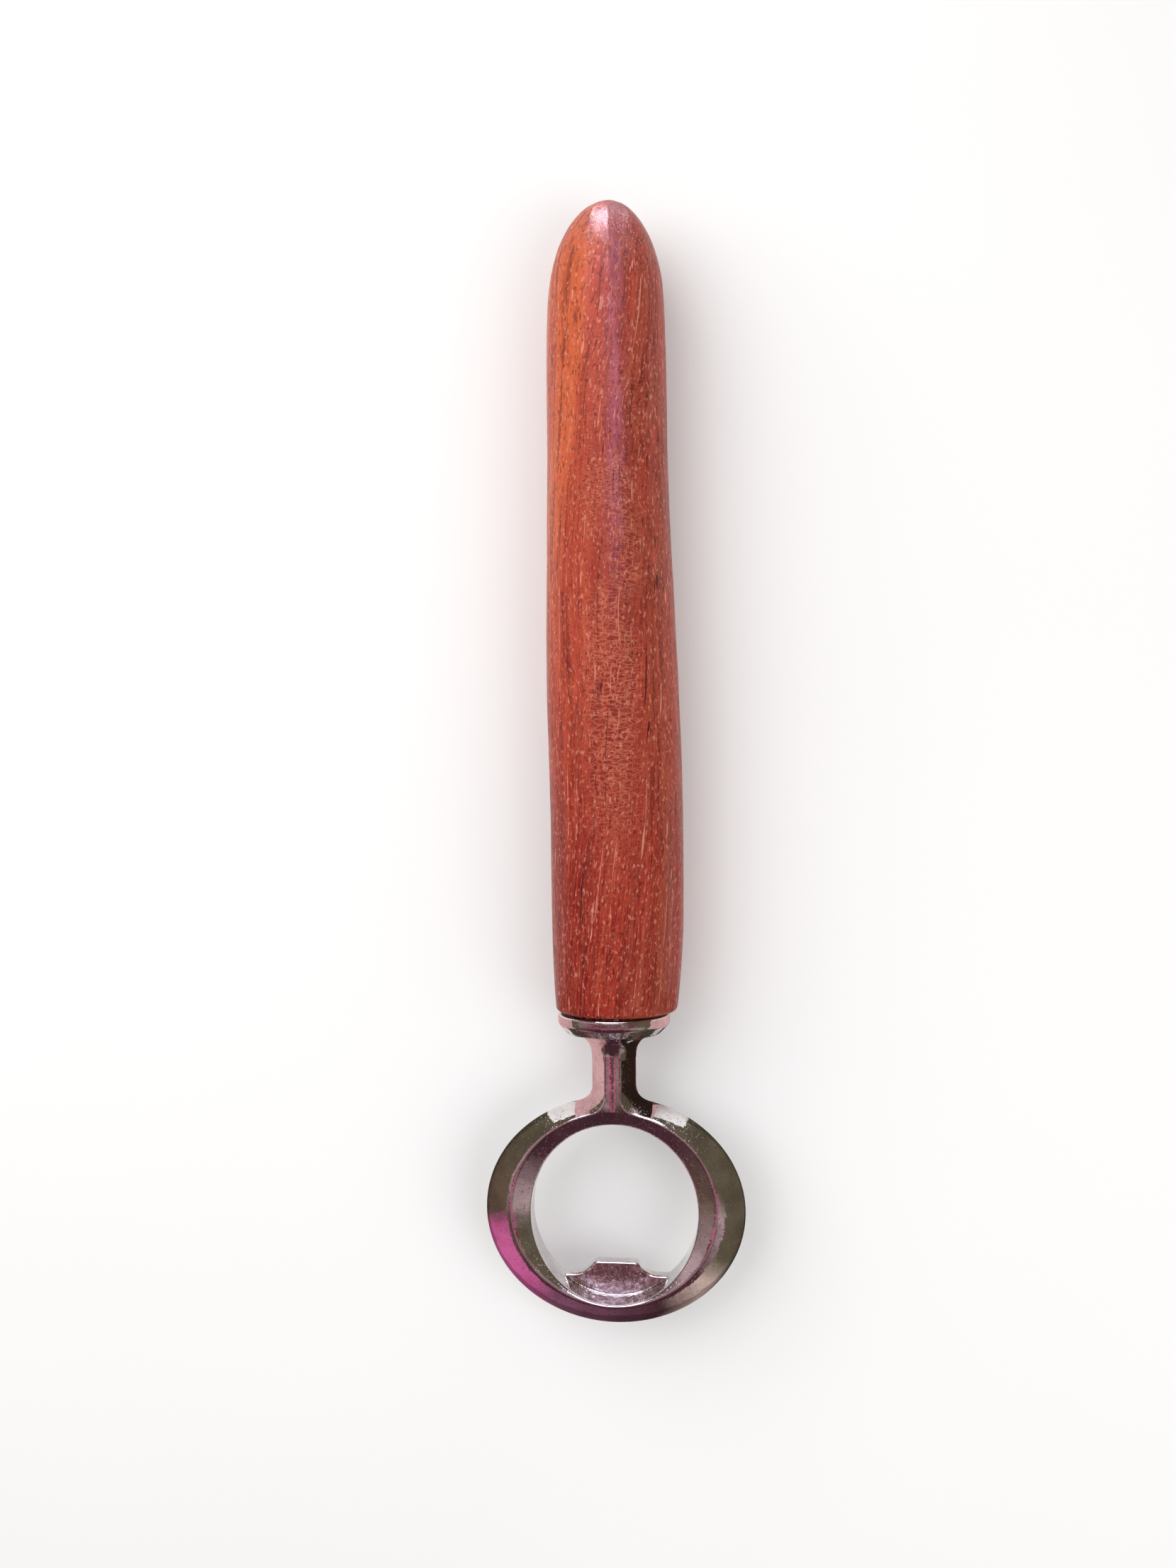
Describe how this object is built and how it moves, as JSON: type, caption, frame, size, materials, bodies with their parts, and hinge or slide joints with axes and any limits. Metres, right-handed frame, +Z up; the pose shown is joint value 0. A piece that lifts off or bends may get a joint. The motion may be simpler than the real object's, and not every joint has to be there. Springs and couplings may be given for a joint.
{
  "type": "bottle opener",
  "caption": "Bottle opener with a hand-carved red hardwood handle and a screw-on chromed head: oval cap ring with a lifting tongue.",
  "frame": {"origin": "centre of the bounding box's underside: the middle of the opener's length, on the surface it lies on", "axes": "+Y along the handle to its rounded tip, with the cap ring at the -Y end; +Z up, square to the ring; X across the ring"},
  "size_m": [0.0444, 0.1914, 0.0213],
  "materials": {
    "handle_wood": "red-brown hardwood, knife-carved and oiled, satin",
    "insert_brass": "machined brass",
    "stud_steel": "bright zinc-plated steel thread",
    "head_chrome": "bright chrome on a polished casting"
  },
  "bodies": {
    "handle": {"wooden_handle": "handle_wood", "threaded_insert": "insert_brass"},
    "stud": {"threaded_stud": "stud_steel"},
    "head": {"opener_head": "head_chrome"}
  },
  "joints": [
    {"name": "head_travel", "type": "slide", "parent": "handle", "child": "stud", "axis": [0, -1, 0], "range_m": [0, 0.0145]},
    {"name": "head_turn", "type": "hinge", "parent": "stud", "child": "head", "pos_m": [0, -0.0427, 0.0104], "axis": [0, -1, 0], "range_deg": [0, 5220]}
  ],
  "couplings": [
    {"joint": "head_travel", "follows": "head_turn", "m_per_rad": 0.00015915}
  ]
}
